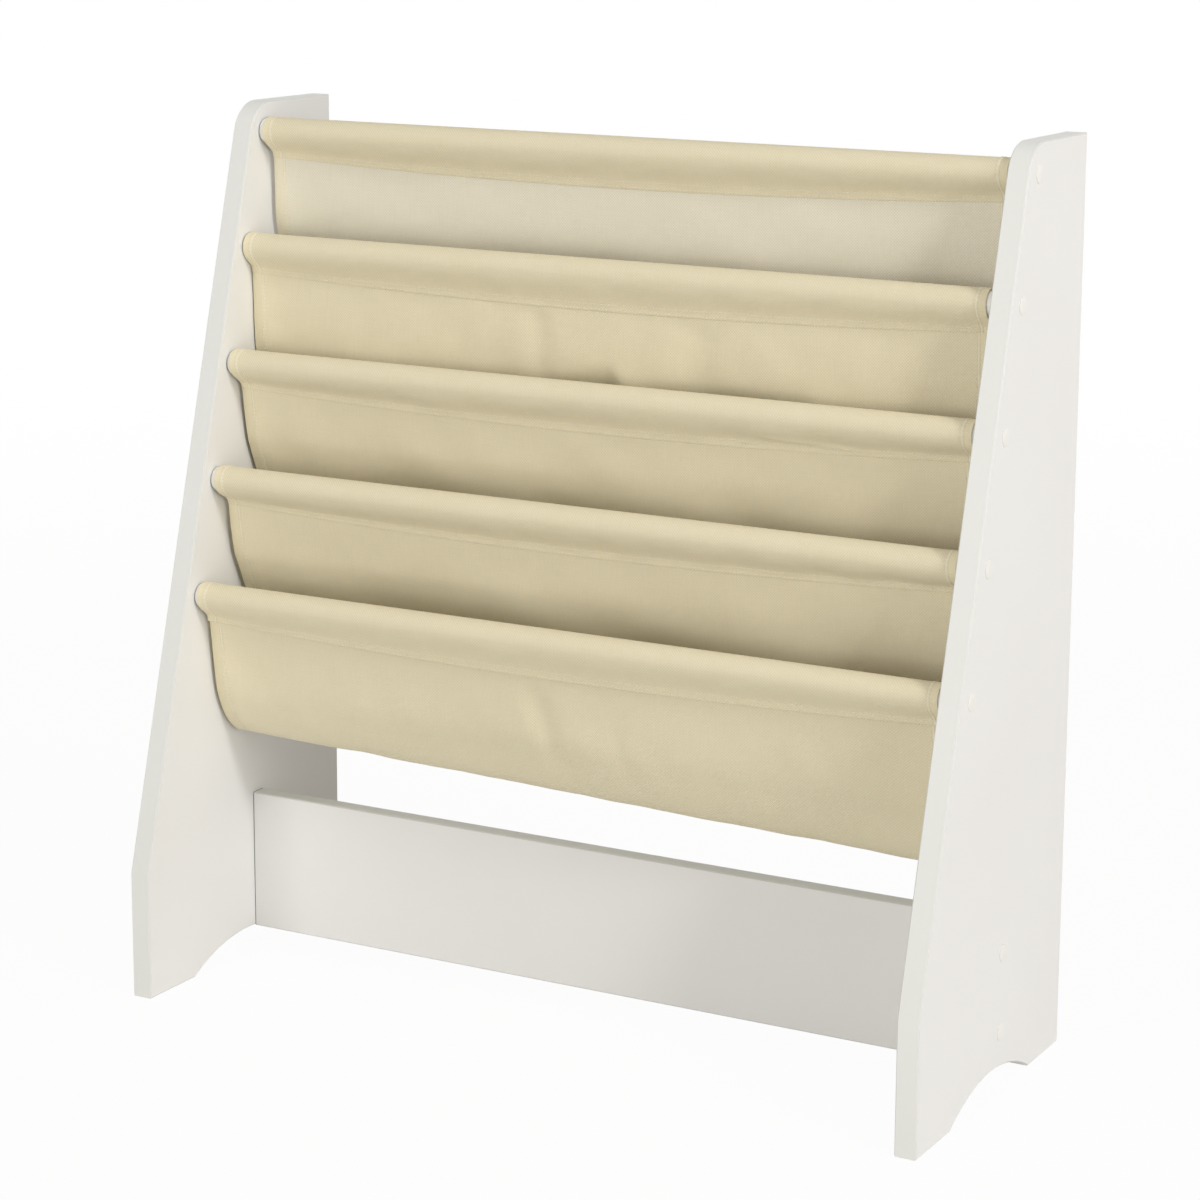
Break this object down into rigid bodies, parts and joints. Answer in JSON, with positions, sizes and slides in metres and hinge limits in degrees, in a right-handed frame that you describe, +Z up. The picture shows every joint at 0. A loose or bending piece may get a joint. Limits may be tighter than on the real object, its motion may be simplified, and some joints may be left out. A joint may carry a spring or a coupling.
{
  "type": "sling bookshelf",
  "caption": "Children's bookshelf with two sloping side boards, a low cross board and a cloth sling on round rods that forms open book pockets.",
  "frame": {"origin": "on the floor, under the middle of the bounding box's bottom face", "axes": "+Z up, +X to the right of someone facing the shelf, +Y to its back"},
  "size_m": [0.7128, 0.28, 0.73],
  "materials": {
    "white_board": "white satin paint on board",
    "white_rod": "white satin paint on a round rod",
    "cream_cloth": "cream canvas, plain weave, matt",
    "steel_screw": "zinc plated",
    "white_cap": "white plastic cover cap"
  },
  "bodies": {
    "root": {"side_board_left": "white_board", "side_board_right": "white_board", "cross_board": "white_board", "rod_1": "white_rod", "rod_2": "white_rod", "rod_3": "white_rod", "rod_4": "white_rod", "rod_5": "white_rod", "cloth_sleeve_1": "cream_cloth", "cloth_sleeve_2": "cream_cloth", "cloth_sleeve_3": "cream_cloth", "cloth_sleeve_4": "cream_cloth", "cloth_sleeve_5": "cream_cloth", "cloth_pocket_1": "cream_cloth", "cloth_pocket_2": "cream_cloth", "cloth_pocket_3": "cream_cloth", "cloth_pocket_4": "cream_cloth", "screw_rod_1_left": "steel_screw", "cap_rod_1_left": "white_cap", "screw_rod_1_right": "steel_screw", "cap_rod_1_right": "white_cap", "screw_rod_2_left": "steel_screw", "cap_rod_2_left": "white_cap", "screw_rod_2_right": "steel_screw", "cap_rod_2_right": "white_cap", "screw_rod_3_left": "steel_screw", "cap_rod_3_left": "white_cap", "screw_rod_3_right": "steel_screw", "cap_rod_3_right": "white_cap", "screw_rod_4_left": "steel_screw", "cap_rod_4_left": "white_cap", "screw_rod_4_right": "steel_screw", "cap_rod_4_right": "white_cap", "screw_rod_5_left": "steel_screw", "cap_rod_5_left": "white_cap", "screw_rod_5_right": "steel_screw", "cap_rod_5_right": "white_cap", "screw_cross_board_lower_left": "steel_screw", "cap_cross_board_lower_left": "white_cap", "screw_cross_board_lower_right": "steel_screw", "cap_cross_board_lower_right": "white_cap", "screw_cross_board_upper_left": "steel_screw", "cap_cross_board_upper_left": "white_cap", "screw_cross_board_upper_right": "steel_screw", "cap_cross_board_upper_right": "white_cap"}
  },
  "joints": []
}
